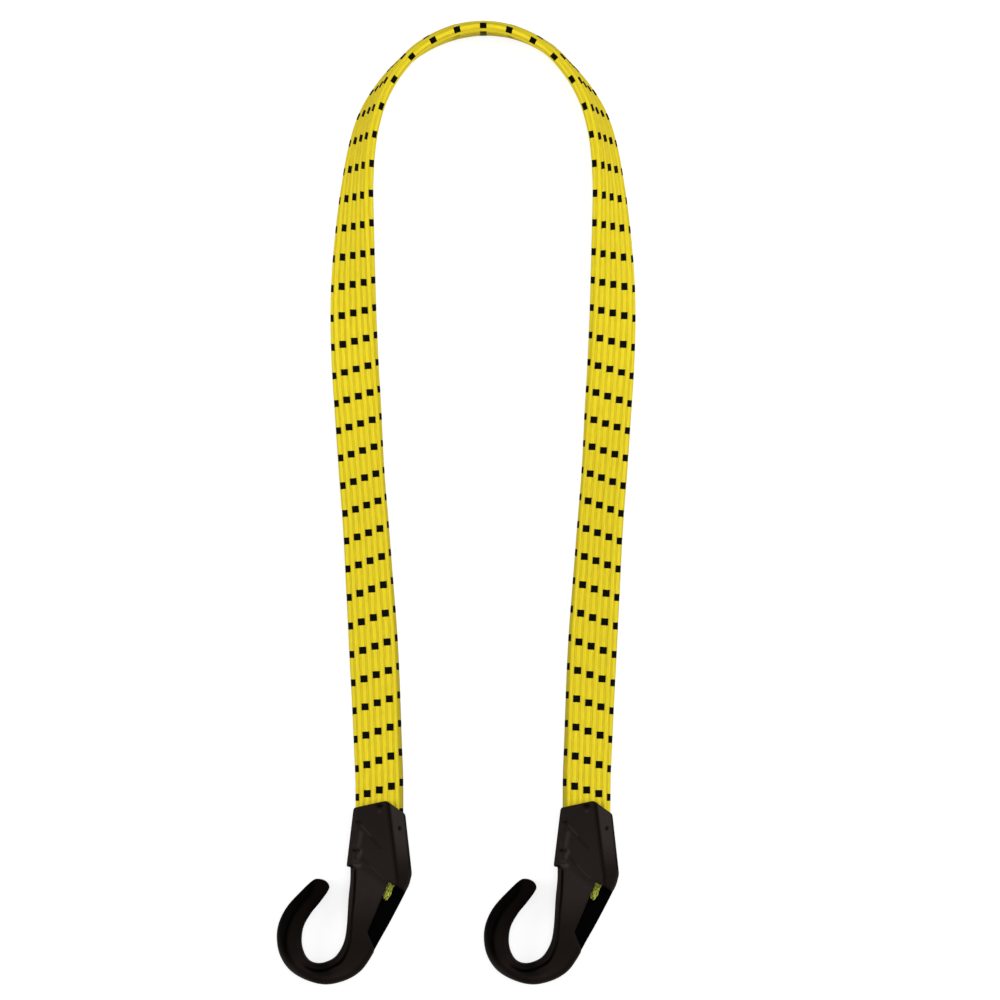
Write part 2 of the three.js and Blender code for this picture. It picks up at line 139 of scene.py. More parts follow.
# Places that the frame gives
left_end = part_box("band_end_left")
right_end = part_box("band_end_right")
HOOK_X = {
    "left": (left_end[0].x + left_end[1].x) / 2,
    "right": (right_end[0].x + right_end[1].x) / 2,
}
MIDDLE_X = (HOOK_X["left"] + HOOK_X["right"]) / 2
MOUTH_Y = left_end[1].y - FLEX_LENGTH + END_GAP
HOOK_HALF = (left_end[0].z + left_end[1].z) / 2


def smoothstep(value, low, high):
    """0 up to low, 1 from high on, and smooth between."""
    t = np.clip((value - low) / (high - low), 0, 1)
    return t * t * (3 - 2 * t)


def smooth_through(points, samples):
    """Smooth curve through the points, with that many samples on each stretch."""
    points = np.asarray(points, float)
    padded = np.vstack([2 * points[0] - points[1], points, 2 * points[-1] - points[-2]])
    t = np.arange(samples)[:, None] / samples
    stretches = []
    for a, b, c, d in zip(padded, padded[1:], padded[2:], padded[3:]):
        linear = 2 * b + (c - a) * t
        square = (2 * a - 5 * b + 4 * c - d) * t**2
        cubic = (3 * b - a - 3 * c + d) * t**3
        stretches.append((linear + square + cubic) / 2)
    return np.vstack([*stretches, points[-1:]])


# Route of the band


class Route:
    """The band's middle line, by the length along it in plan from the crown, negative to the left."""

    def __init__(self):
        mirrored = [(-x, y, turn) for x, y, turn in LEFT_ROUTE[::-1]]
        right = [*RIGHT_CROWN, *mirrored[len(RIGHT_CROWN):]]
        line = smooth_through([*LEFT_ROUTE, CROWN, *right], ROUTE_SAMPLES)
        steps = np.hypot(*np.diff(line[:, :2], axis=0).T)
        lengths = np.concatenate([[0], np.cumsum(steps)])
        self.lengths = lengths - lengths[-1] / 2
        turn = np.radians(line[:, 2])
        lying = EDGE_CENTRE * np.abs(np.sin(turn)) + EDGE_RADIUS
        down = smoothstep(line[:, 1], FLEX_LENGTH, RISE_LENGTH)
        height = HOOK_HALF + (lying - HOOK_HALF) * down
        self.centre = np.column_stack([line[:, 0] + MIDDLE_X, line[:, 1] + MOUTH_Y, height])
        along = np.gradient(self.centre, self.lengths, axis=0)
        along /= np.linalg.norm(along, axis=1)[:, None]
        outward = np.cross([0, 0, 1], along)
        outward /= np.linalg.norm(outward, axis=1)[:, None]
        upright = np.cross(along, outward)
        self.face = upright * np.cos(turn)[:, None] + outward * np.sin(turn)[:, None]
        self.inner = -np.cross(self.face, along)

    def at(self, values, lengths):
        """Values of the route at those lengths."""
        return np.stack([np.interp(lengths, self.lengths, values[:, i]) for i in range(3)], axis=-1)


route = Route()


# Band pieces


def outline_at(column, drift, straight):
    """Place and normal on the band's section at a column: towards the inner edge, and out of the face."""
    girth = 4 * straight + 2 * math.pi * EDGE_RADIUS
    reach = (column * girth / COLUMNS + drift + girth / 2) % girth - girth / 2
    side = np.sign(reach)
    reach = np.abs(reach)
    turn = np.clip((reach - straight) / EDGE_RADIUS, 0, math.pi)
    behind = np.maximum(reach - straight - math.pi * EDGE_RADIUS, 0)
    across = np.minimum(reach, straight) + EDGE_RADIUS * np.sin(turn) - behind
    return side * across, EDGE_RADIUS * np.cos(turn), side * np.sin(turn), np.cos(turn)


def rib_relief(across, normal):
    """Ribs on the band's faces: a high one over each strand and a low one between two."""
    turn = 2 * math.pi * across / RIB_PITCH
    ribs = RIB_DEPTH * (np.cos(2 * turn) - 1) - RIB_STEP * (np.cos(turn) + 1)
    return ribs * smoothstep(np.abs(normal), 0, 1)


def in_square(column, row, cells):
    """Whether a place of the weave lies in a tracer square, or in its middle, of that many cells."""
    across = np.abs(column - np.round(column)) * COLUMN_CELLS < cells[0] / 2
    along = np.abs(row - np.round(row)) * ROW_CELLS < cells[1] / 2
    return across & along


def by_row(values, row):
    """Value at a row, on a smooth curve through the values given for every few rows."""
    curve = smooth_through(np.column_stack([np.arange(len(values)), values]), ROUTE_SAMPLES)
    return np.interp(np.abs(row), curve[:, 0] * ROWS_PER_VALUE, curve[:, 1])


def stepped(column):
    """The column, held level across each square, so that the squares aren't slanted with their row."""
    nearest = np.round(column)
    past = column - nearest
    return nearest + np.sign(past) * 0.5 * smoothstep(np.abs(past), SQUARE_HALF, 0.5)


def row_lengths(row, column):
    """Length from the crown at a row and column of the weave."""
    length = np.abs(row) * ROW_PITCH + by_row(ROW_SLIP, row)
    lag = by_row(ROW_LAG, row)
    place = stepped(column)
    face = np.clip(INNER_COLUMN - place, 0, 2 * INNER_COLUMN)
    inner_back = BACK_LAG * (place - INNER_COLUMN)
    outer_back = BACK_LAG * (COLUMNS + place - INNER_COLUMN)
    back = np.where(place > 0, inner_back, outer_back)
    behind = np.where(np.abs(place) <= INNER_COLUMN, face, back)
    return np.sign(row) * (length + lag * behind)


def band_skin(rows, columns, inset):
    """Points of the sleeve's skin at each row and column, sunk by inset."""
    row, column = np.meshgrid(rows, columns, indexing="ij")
    lengths = row_lengths(row, column)
    straight = EDGE_CENTRE + by_row(BAND_SPREAD, row)
    across, out, side, normal = outline_at(column, by_row(COLUMN_DRIFT, row), straight)
    raised = rib_relief(across * EDGE_CENTRE / straight, normal) - inset
    if inset == 0:
        raised = raised + SQUARE_RISE * in_square(column, row, RAISED_CELLS)
    inner = (across + side * raised)[..., None] * route.at(route.inner, lengths)
    face = (out + normal * raised)[..., None] * route.at(route.face, lengths)
    return route.at(route.centre, lengths) + inner + face


def skin_normals(rows, columns, inset):
    """Normals of the sleeve's skin, worked out past its cut ends too, so that no line shows at a cut."""
    step = 1 / ROW_CELLS
    wide = np.concatenate([[rows[0] - step], rows, [rows[-1] + step]])
    points = band_skin(wide, columns, inset)
    along = points[2:] - points[:-2]
    around = (np.roll(points, -1, axis=1) - np.roll(points, 1, axis=1))[1:-1]
    normals = np.cross(around, along).reshape(-1, 3)
    return normals / np.linalg.norm(normals, axis=1)[:, None]


def mesh_piece(name, points, faces, materials):
    """A smooth piece with that mesh and those materials, in the scene."""
    mesh = bpy.data.meshes.new(name)
    mesh.from_pydata(points.tolist(), [], faces)
    for material in materials:
        mesh.materials.append(material)
    mesh.polygons.foreach_set("use_smooth", np.ones(len(mesh.polygons), bool))
    piece = bpy.data.objects.new(name, mesh)
    bpy.context.collection.objects.link(piece)
    return piece


def ring_faces(rings, count, start=0):
    """Quads between rings of equally many points, closed round each ring."""
    ring, place = np.meshgrid(np.arange(rings - 1), np.arange(count), indexing="ij")
    following = (place + 1) % count
    a = start + ring * count + place
    b = start + ring * count + following
    return np.stack([a, b, b + count, a + count], axis=-1).reshape(-1, 4)


def tube_faces(rings, count, start):
    """Faces of a tube of rings with closed ends."""
    last = start + (rings - 1) * count
    ends = [[start + k for k in reversed(range(count))], [last + k for k in range(count)]]
    return [*ring_faces(rings, count, start).tolist(), *ends]


def ring_turns(count):
    """Angles of that many points round a ring."""
    return np.arange(count) * 2 * math.pi / count


def sleeve_piece(name, first_row, last_row):
    """A stretch of the woven sleeve with its tracer squares, its inside and its cut ends."""
    cells = round((last_row - first_row) * ROW_CELLS)
    rows = first_row + np.arange(cells + 1) / ROW_CELLS
    count = COLUMNS * COLUMN_CELLS
    columns = (np.arange(count) + 0.5) / COLUMN_CELLS - COLUMNS / 2
    inside_rows = np.append(rows[:-1:INNER_SKIP], rows[-1])
    outside = band_skin(rows, columns, 0).reshape(-1, 3)
    inside = band_skin(inside_rows, columns, SLEEVE_WALL).reshape(-1, 3)
    start = len(outside)
    last_out, last_in = start - count, start + len(inside) - count
    place = np.arange(count)
    following = (place + 1) % count
    skin = ring_faces(len(rows), count)
    lining = ring_faces(len(inside_rows), count, start)[:, ::-1]
    head = [place + start, following + start, following, place]
    foot = [place + last_out, following + last_out, following + last_in, place + last_in]
    faces = np.vstack([skin, lining, np.transpose(head), np.transpose(foot)]).tolist()
    piece = mesh_piece(name, np.vstack([outside, inside]), faces, [yellow_weave(), black_weave()])
    paint_weave(piece.data, rows, columns, inside_rows, len(skin))
    outward = skin_normals(rows, columns, 0)
    inward = -skin_normals(inside_rows, columns, SLEEVE_WALL)
    piece.data.normals_split_custom_set_from_vertices(np.vstack([outward, inward]).tolist())
    return piece


def paint_weave(mesh, rows, columns, inside_rows, skin_faces):
    """Gives every corner its column and row of the weave, and the tracer squares their own material."""
    spots = np.vstack([
        np.stack(np.meshgrid(rows, columns, indexing="ij"), axis=-1).reshape(-1, 2),
        np.stack(np.meshgrid(inside_rows, columns, indexing="ij"), axis=-1).reshape(-1, 2),
    ])[:, ::-1]
    corners = np.zeros(len(mesh.loops), int)
    mesh.loops.foreach_get("vertex_index", corners)
    weave = spots[corners].reshape(-1, 4, 2)
    wraps = np.ptp(weave[:, :, 0], axis=1) > COLUMNS / 2
    weave[wraps, :, 0] += np.where(weave[wraps, :, 0] < 0, COLUMNS, 0)
    layer = mesh.uv_layers.new(name="weave")
    layer.data.foreach_set("uv", weave.reshape(-1))
    middle = weave.mean(axis=1)
    black = in_square(*middle.T, SQUARE_CELLS) & (np.arange(len(middle)) < skin_faces)
    mesh.polygons.foreach_set("material_index", black.astype(int))


def strands_piece(name, first_length, last_length):
    """The rubber strands inside a stretch of the sleeve, with closed ends."""
    count = round((last_length - first_length) / STRAND_STEP)
    lengths = np.linspace(first_length, last_length, count)
    lines = (route.centre, route.inner, route.face)
    centre, inner, face = (route.at(line, lengths)[:, None] for line in lines)
    spread = 1 + by_row(BAND_SPREAD, lengths / ROW_PITCH) / EDGE_CENTRE
    turns = ring_turns(STRAND_SIDES)
    out = STRAND_RADIUS * np.cos(turns)
    points, faces = [], []
    for i in range(STRAND_COUNT):
        middle = spread[:, None] * (i - (STRAND_COUNT - 1) / 2) * RIB_PITCH
        across = middle + STRAND_RADIUS * np.sin(turns)
        skin = centre + across[..., None] * inner + out[:, None] * face
        points.append(skin.reshape(-1, 3))
        faces += tube_faces(count, STRAND_SIDES, i * count * STRAND_SIDES)
    piece = mesh_piece(name, np.vstack(points), faces, [rubber()])
    return piece


# Materials


class Nodes:
    """A material's node tree, with short calls for the nodes that the materials here share."""

    def __init__(self, name):
        self.material = bpy.data.materials.new(name)
        self.material.use_nodes = True
        self.tree = self.material.node_tree
        self.shader = self.tree.nodes["Principled BSDF"]

    def add(self, kind, **settings):
        node = self.tree.nodes.new(kind)
        for key, value in settings.items():
            setattr(node, key, value)
        return node

    def link(self, source, target):
        self.tree.links.new(source, target)

    def feed(self, source, name):
        self.link(source, self.shader.inputs[name])

    def math(self, operation, *values):
        node = self.add("ShaderNodeMath", operation=operation)
        for socket, value in zip(node.inputs, values):
            if isinstance(value, (int, float)):
                socket.default_value = value
            else:
                self.link(value, socket)
        return node.outputs[0]

    def place(self):
        return self.add("ShaderNodeTexCoord").outputs["Object"]

    def noise(self, place, scale, detail=2.0):
        node = self.add("ShaderNodeTexNoise")
        node.inputs["Scale"].default_value = scale
        node.inputs["Detail"].default_value = detail
        self.link(place, node.inputs["Vector"])
        return node.outputs["Fac"]

    def stretched(self, place, scale):
        node = self.add("ShaderNodeMapping")
        node.inputs["Scale"].default_value = scale
        self.link(place, node.inputs["Vector"])
        return node.outputs["Vector"]

    def ramp(self, factor, *stops):
        node = self.add("ShaderNodeValToRGB")
        colours = node.color_ramp.elements
        while len(colours) < len(stops):
            colours.new(0.5)
        for element, (position, colour) in zip(colours, stops):
            element.position = position
            element.color = (*colour, 1)
        self.link(factor, node.inputs["Fac"])
        return node.outputs["Color"]

    def spread(self, factor, low, high, start=0.0, end=1.0):
        node = self.add("ShaderNodeMapRange")
        node.inputs["From Min"].default_value = start
        node.inputs["From Max"].default_value = end
        node.inputs["To Min"].default_value = low
        node.inputs["To Max"].default_value = high
        self.link(factor, node.inputs["Value"])
        return node.outputs["Result"]

    def scaled(self, colour, factor):
        node = self.add("ShaderNodeVectorMath", operation="SCALE")
        self.link(colour, node.inputs[0])
        self.link(factor, node.inputs["Scale"])
        return node.outputs[0]

    def bump(self, height, distance, strength):
        node = self.add("ShaderNodeBump")
        node.inputs["Distance"].default_value = distance
        node.inputs["Strength"].default_value = strength
        self.link(height, node.inputs["Height"])
        self.feed(node.outputs["Normal"], "Normal")


def once(make):
    """The material is made at the first call and shared after that."""
    made = []

    def shared():
        if not made:
            made.append(make())
        return made[0]

    return shared


YARNS_PER_COLUMN = 6
PICKS_PER_ROW = 16
YARN_FULLNESS = 0.5  # powers that make the yarns and their floats fuller
PICK_FULLNESS = 0.35
YARN_HEIGHT = 0.12 * MM
YARN_BUMP = 0.6
RIBS_PER_COLUMN = 2
RIB_PAINTED_LIGHT = 0.16  # shares of the ribs, the yarns and the streaks in the yellow's tone; the ribs' and yarns' shares are a painted highlight on the crests and painted shade in the furrows and between the yarns
YARN_PAINTED_LIGHT = 0.3
STREAK_TONE = 0.6
# Painted shade on the yellow: darker towards the hooks, where less light falls, and darkest on the legs'
# inner edge, which rolls away from the light
PAINTED_SHADE_ROWS = (8.0, 26.0)  # from the crown, where the painted shade begins and is full
PAINTED_SHADE_COLUMN = 2.1  # on the inner edge, where it is strongest
PAINTED_SHADE_REACH = 0.6  # columns on each side of that
EDGE_PAINTED_SHADE = 0.56
FACE_PAINTED_SHADE = 0.085


def weave_height(nodes):
    """Height of the yarns, each second one half a float on, with the weave's place and its parts."""
    place = nodes.add("ShaderNodeUVMap", uv_map="weave").outputs["UV"]
    parts = nodes.add("ShaderNodeSeparateXYZ")
    nodes.link(place, parts.inputs[0])
    across = nodes.math("MULTIPLY", parts.outputs["X"], YARNS_PER_COLUMN)
    shift = nodes.math("MULTIPLY", nodes.math("FLOOR", across), 0.5)
    along = nodes.math("ADD", nodes.math("MULTIPLY", parts.outputs["Y"], PICKS_PER_ROW), shift)
    yarn = nodes.math("SINE", nodes.math("MULTIPLY", nodes.math("FRACT", across), math.pi))
    pick = nodes.math("SINE", nodes.math("MULTIPLY", nodes.math("FRACT", along), math.pi))
    yarn = nodes.math("POWER", yarn, YARN_FULLNESS)
    pick = nodes.math("POWER", pick, PICK_FULLNESS)
    return nodes.math("MULTIPLY", yarn, pick), place, parts


def share_left_by_painted_shade(nodes, parts):
    """Share of the colour that the painted shade leaves, lowest on the inner edge near the hooks, where
    the legs roll away from the light.
    """
    down = nodes.spread(nodes.math("ABSOLUTE", parts.outputs["Y"]), 0.0, 1.0, *PAINTED_SHADE_ROWS)
    past = nodes.math("ABSOLUTE", nodes.math("SUBTRACT", parts.outputs["X"], PAINTED_SHADE_COLUMN))
    edge = nodes.spread(past, 1.0, 0.0, 0.0, PAINTED_SHADE_REACH)
    painted_shade = nodes.math("MULTIPLY_ADD", edge, EDGE_PAINTED_SHADE, FACE_PAINTED_SHADE)
    return nodes.math("SUBTRACT", 1.0, nodes.math("MULTIPLY", down, painted_shade))


@once
def yellow_weave():
    nodes = Nodes("yellow_weave")
    height, place, parts = weave_height(nodes)
    turn = nodes.math("MULTIPLY", parts.outputs["X"], 2 * math.pi * RIBS_PER_COLUMN)
    rib = nodes.math("COSINE", turn)
    streaks = nodes.noise(nodes.stretched(place, (3.0, 0.6, 1.0)), 4.0, 4.0)
    # Painted highlight on the ribs' and yarns' crests, painted shade in the furrows and between the yarns
    painted_crest_light = nodes.math("MULTIPLY_ADD", rib, RIB_PAINTED_LIGHT, nodes.math("MULTIPLY", height, YARN_PAINTED_LIGHT))
    tone = nodes.math("ADD", painted_crest_light, nodes.math("MULTIPLY", streaks, STREAK_TONE))
    colour = nodes.ramp(
        tone,
        (0.15, (0.55, 0.42, 0.004)),
        (0.50, (0.80, 0.63, 0.010)),
        (0.85, (0.95, 0.80, 0.026)),
    )
    # the yellow, darkened by its painted shade
    nodes.feed(nodes.scaled(colour, share_left_by_painted_shade(nodes, parts)), "Base Color")
    nodes.feed(nodes.spread(streaks, 0.62, 0.85), "Roughness")
    nodes.shader.inputs["Sheen Weight"].default_value = 0.06
    nodes.shader.inputs["Specular IOR Level"].default_value = 0.2
    nodes.bump(height, YARN_HEIGHT, YARN_BUMP)
    return nodes.material


@once
def black_weave():
    nodes = Nodes("black_weave")
    height, place, _ = weave_height(nodes)
    # Lighter on the yarns' tops and darker between them: painted highlight and shade, with random
    # variation
    tone = nodes.math("MULTIPLY", height, nodes.noise(place, 6.0))
    colour = nodes.ramp(tone, (0.1, (0.0008, 0.001, 0.0007)), (0.7, (0.003, 0.004, 0.002)))
    nodes.feed(colour, "Base Color")
    nodes.feed(nodes.spread(tone, 0.9, 0.6), "Roughness")
    nodes.shader.inputs["Specular IOR Level"].default_value = 0.06
    nodes.bump(height, YARN_HEIGHT, YARN_BUMP)
    return nodes.material


@once
def rubber():
    nodes = Nodes("rubber")
    place = nodes.place()
    streaks = nodes.noise(place, 900.0, 3.0)
    colour = nodes.ramp(streaks, (0.3, (0.42, 0.34, 0.22)), (0.7, (0.55, 0.46, 0.32)))
    nodes.feed(colour, "Base Color")
    nodes.feed(nodes.spread(streaks, 0.5, 0.75), "Roughness")
    nodes.bump(streaks, 0.05 * MM, 0.5)
    return nodes.material


@once
def black_plastic():
    nodes = Nodes("black_plastic")
    place = nodes.place()
    grain = nodes.noise(place, 4500.0, 3.0)
    cloud = nodes.noise(place, 130.0, 3.0)
    # The tone attribute carries painted light and shade: lighter where light falls on the hook, darker
    # where it turns from the light, in its creases and in its hollows; it also dims the shine there
    tone = nodes.add("ShaderNodeAttribute", attribute_name="tone").outputs["Fac"]
    colour = nodes.ramp(
        nodes.math("MULTIPLY", tone, nodes.spread(cloud, 0.85, 1.15)),
        (0.0, (0.0004, 0.0003, 0.0003)),
        (0.25, (0.0058, 0.0036, 0.0024)),
        (0.5, (0.0122, 0.0082, 0.0064)),
        (1.0, (0.0360, 0.0290, 0.0240)),
    )
    nodes.feed(colour, "Base Color")
    gloss = nodes.math("MULTIPLY", cloud, grain)
    nodes.feed(nodes.spread(gloss, 0.42, 0.6), "Roughness")
    nodes.feed(nodes.spread(tone, 0.005, 0.095), "Specular IOR Level")
    nodes.bump(grain, 0.03 * MM, 0.35)
    return nodes.material


@once
def frayed_yarn():
    nodes = Nodes("frayed_yarn")
    place = nodes.place()
    twist_and_gap_shade = nodes.noise(nodes.stretched(place, (2600.0, 900.0, 2600.0)), 1.0, 3.0)
    # The dark stop is partly painted shade in the gaps between the yarns and partly the black tracer
    # yarns among them
    colour = nodes.ramp(
        twist_and_gap_shade,
        (0.36, (0.03, 0.04, 0.003)),
        (0.5, (0.36, 0.40, 0.03)),
        (0.66, (0.70, 0.72, 0.10)),
    )
    nodes.feed(colour, "Base Color")
    nodes.feed(nodes.spread(twist_and_gap_shade, 0.6, 0.85), "Roughness")
    nodes.bump(twist_and_gap_shade, 0.1 * MM, 0.6)
    return nodes.material


@once
def brushed_steel():
    nodes = Nodes("brushed_steel")
    place = nodes.place()
    brush = nodes.noise(nodes.stretched(place, (4000.0, 300.0, 4000.0)), 1.0, 3.0)
    colour = nodes.ramp(brush, (0.3, (0.42, 0.43, 0.44)), (0.7, (0.62, 0.63, 0.64)))
    nodes.feed(colour, "Base Color")
    nodes.feed(nodes.spread(brush, 0.28, 0.5), "Roughness")
    nodes.shader.inputs["Metallic"].default_value = 1.0
    nodes.bump(brush, 0.02 * MM, 0.4)
    return nodes.material


@once
def pale_floor():
    """Pale floor that the camera sees as white, and that keeps the object's shadow."""
    nodes = Nodes("pale_floor")
    nodes.shader.inputs["Base Color"].default_value = FLOOR_COLOUR
    nodes.shader.inputs["Roughness"].default_value = 0.9
    nodes.shader.inputs["Specular IOR Level"].default_value = 0.1
    nodes.shader.inputs["Emission Color"].default_value = (1, 1, 1, 1)
    path = nodes.add("ShaderNodeLightPath").outputs
    seen = nodes.math("MAXIMUM", path["Is Camera Ray"], path["Is Glossy Ray"])
    seen = nodes.math("MAXIMUM", seen, path["Is Transmission Ray"])
    nodes.feed(nodes.math("MULTIPLY", seen, FLOOR_GLOW), "Emission Strength")
    return nodes.material


# Hook: one moulding in its own frame, with Y = 0 at the mouth and Z = 0 on the middle plane

VOXEL = 0.3 * MM
HOOK_LOW = np.array([-41.5, -71.0, -7.0]) * MM
HOOK_HIGH = np.array([14.5, 3.5, 7.5]) * MM
OUTLINE_SAMPLES = 8

# Plan, in millimetres: the socket with its ear, and the shank, bowl and arm
SOCKET_OUTLINE = np.array([
    (-10.1, -0.55), (-12.9, -23.6), (-9.0, -23.6), (3.0, -33.0), (9.8, -33.6), (11.7, -30.4),
    (12.7, -26.4), (10.1, -3.0), (2.8, 2.3),
])
SOCKET_CORNER = 1.0
CORNER_POINTS = 6
ARM_INNER = [
    (-11.3, -23.0), (-11.4, -28.9), (-12.1, -36.0), (-12.8, -46.8), (-14.0, -53.2), (-16.8, -58.1),
    (-20.1, -60.3), (-23.8, -61.1), (-27.2, -60.0), (-29.4, -56.8), (-30.3, -52.3), (-29.5, -46.8),
    (-26.6, -41.6), (-23.2, -37.4), (-20.0, -32.9),
]
ARM_TIP = [(-19.6, -31.0), (-20.9, -29.2), (-23.4, -28.3), (-25.9, -28.8)]
ARM_OUTER = [
    (-30.3, -32.8), (-36.0, -39.0), (-39.2, -45.2), (-40.1, -51.5), (-38.8, -58.2), (-34.9, -64.0),
    (-28.5, -67.8), (-21.0, -69.5), (-13.6, -68.0), (-7.7, -64.6), (-3.6, -59.3), (1.6, -49.9),
    (8.2, -37.4), (11.6, -30.6),
]
ARM_ROOT = [(8.0, -27.0), (-7.0, -21.0)]
BOWL_MIDDLE = np.array([-22.3, -52.6]) * MM
SHANK_SIDE = -14.3 * MM  # above the bowl's middle, the shank lies to the right of this

# Thickness
SOCKET_HALF = 5.5 * MM
ARM_HALF = 4.3 * MM
SHANK_GROWTH = (-54 * MM, -33 * MM)  # where it grows from the arm's thickness to the socket's
ARM_ROUND = 2.6 * MM
SHANK_ROUND = 0.9 * MM
SOCKET_ROUND = 0.6 * MM
ROUND_BLEND = (0.6 * MM, 2.0 * MM)  # from the socket, where its rounding goes over into the shank's
STEP_HALF = 0.25 * MM  # half the run over which the socket's front steps to the shank's

# Bevels of the socket: the sides lean out from the mouth down
MOUTH_LEFT = -10.1 * MM
MOUTH_RIGHT = 10.1 * MM
LEFT_FLARE = -0.121
RIGHT_FLARE = 0.100
RIDGE_AT_MOUTH = 3.5 * MM
RIDGE_LEAN = 0.122
BEVEL_AT_MOUTH = 1.4 * MM
BEVEL_GROWTH = 0.142
LEFT_DROP = 1.2 * MM
RIGHT_DROP = 2.5 * MM
RIGHT_BEVEL_FOOT = -40 * MM

# Small teeth on the left bevel, each rising to a notch
NOTCHES = np.array([-6.2, -17.2, -22.2]) * MM
TOOTH_LENGTH = 4.5 * MM
TOOTH_HEIGHT = 0.4 * MM
TOOTH_SPAN = (0.45, 0.6, 0.9, 1.0)  # shares of the bevel's width where a tooth rises and falls

# Relief on the front
FRONT_RIBS = np.array([((-8.15, -5.85), (0.8, -16.0)), ((-9.3, -16.8), (2.0, -28.5))]) * MM
FRONT_RIB_WIDTH = 1.3 * MM
FRONT_RIB_HEIGHT = 0.35 * MM
DIMPLES = np.array([(0.0, 0.2), (7.8, -8.5), (-8.1, -5.9)]) * MM
DIMPLE_RADIUS = 0.9 * MM
DIMPLE_DEPTH = 0.45 * MM
RIDGE_GROOVE = (0.45 * MM, 0.5 * MM)  # half width and depth
RIDGE_FOOT = -28 * MM

# Ledge along the inner side of the shank and the bowl, below a slanted wall
LEDGE_LINE = [
    (-8.8, -22.0), (-8.9, -29.0), (-9.3, -36.0), (-9.9, -42.0), (-10.4, -49.0), (-11.4, -55.0),
    (-14.2, -60.6), (-18.0, -63.1), (-22.0, -64.6), (-26.0, -64.5), (-29.5, -62.8),
]
LEDGE_SIDE = [(-36.0, -56.0), (-36.0, -40.0), (-20.0, -22.0)]  # closes the ledge's side of that line
WALL_RUN = 1.3 * MM
LEDGE_DROP = 1.4 * MM
LEDGE_FADE = (-32.0 * MM, -25.0 * MM)  # in x, at its end under the bowl

# Crease along the arm: two facets that fall to its sides
CREASE_SHARE = 0.62  # of the way from the inner to the outer side
INNER_FALL = 0.9 * MM
OUTER_FALL = 2.4 * MM
CREASE_START = 76  # degrees round the bowl
CREASE_FADE = (220, 262)
CREASE_TIP = (-43 * MM, -34 * MM)  # in y, where it fades towards the tip

# Hollows: the passage of the band by y, middle x, half width and half height, the crimp's room and
# the pocket
PASSAGE = np.array([
    (-37.5, 1.5, 1.7, 2.1), (-29.6, 4.6, 2.9, 2.1), (-20.5, 0.0, 6.9, 2.5), (-12.5, 0.0, 6.9, 2.5),
    (-6.9, 0.0, 9.6, 2.6), (12.0, 0.0, 9.6, 2.6),
]) * MM
PASSAGE_ROUND = 2.0 * MM
CHAMBER = (8.1 * MM, 3.7 * MM, -20.8 * MM, -12.2 * MM)  # half width, half height, two ends in y
POCKET = np.array([(3.6, -29.4), (-4.7, -48.9), (5.7, -76.5), (28.0, -43.8)]) * MM
POCKET_FLOOR = -2.1 * MM
POCKET_SOFTNESS = 0.8 * MM

# Tone of the plastic, painted light and shade for how the light falls on the hook: 0 is black, 0.5 the
# plain surface, 1 a painted highlight
# Painted light and shade round the bowl, lighter or darker as the arm turns to or from the light
ARM_TURNS = [76, 100, 120, 150, 205, 227, 245, 265, 280, 292, 310, 350]  # degrees round the bowl
ARM_TONES = [0.07, 0.08, 0.15, 0.19, 0.22, 0.34, 0.28, 0.15, 0.15, 0.28, 0.33, 0.28]
# How much the arm's outer facet is painted lighter or darker than its inner one, as it turns to or from
# the light
OUTER_TURNS = [76, 150, 180, 205, 235, 254, 266, 278, 290, 305, 320]
OUTER_SHARES = [0.4, 0.22, 0.5, 1.0, 0.95, 1.4, 2.0, 2.5, 1.65, 1.25, 1.05]  # past the dark line
# A painted shade line along the arm, next to its crease
LINE_TURNS = [150, 190, 215, 245]
LINE_SHARES = [CREASE_SHARE, 0.69, 0.69, CREASE_SHARE]  # across the arm, where that line runs
LINE_HALF = 0.11  # half width of that line, as a share of the arm's width
LINE_END = (185, 225)  # degrees round the bowl over which that line fades
# Painted shade on the shank, darker towards the bowl
SHANK_LEVELS = np.array([-54, -46, -40, -34]) * MM
SHANK_TONES = [0.28, 0.37, 0.52, 0.56]
# Painted light on the socket's front, a little darker towards the mouth
FRONT_LEVELS = np.array([-20, -8]) * MM
FRONT_TONES = [0.48, 0.41]
# Painted light on the right bevel, which faces the light, fading towards its foot
BEVEL_LEVELS = np.array([-27, -24, -19, -14, 0]) * MM
BEVEL_TONES = [0.28, 0.33, 0.53, 0.64, 0.68]
BEVEL_EDGE = (0.2 * MM, 1.1 * MM)  # past the ridge, where the bevel's tone begins
RIDGE_SHADE = (0.75 * MM, 0.6)  # half width and strength of the dark line along the ridge
RIM_SHADE = (1.3 * MM, 0.5 * MM, 0.6)  # begins and is full so far from the right side; strength
SOCKET_BLEND = 1.5 * MM  # inside the socket's outline, where its tone goes over into the shank's
SOCKET_FOOT = (-25.5 * MM, -23.5 * MM)  # in y, below which it does so
WALL_LEVELS = np.array([-64, -60, -52, -44, -36, -25]) * MM
WALL_SHADES = [0.95, 0.9, 0.45, 0.55, 0.75, 0.95]  # strength of the dark wall down to the ledge
# Painted shade in the pocket and the band's passage, where little light gets in
HOLLOW_PAINTED_SHADE = 0.02
HOLLOW_RIM = 0.35 * MM  # half the run over which the tone goes over at the rim of a hollow
HOLLOW_DEPTH = (0.2 * MM, 0.8 * MM)  # below the front, where a hollow's wall gets its painted shade
BACK_TONE = 0.46
SIDE_LEVELS = (-1.5 * MM, 1.5 * MM)  # where the plain tone of the back goes over into the front's

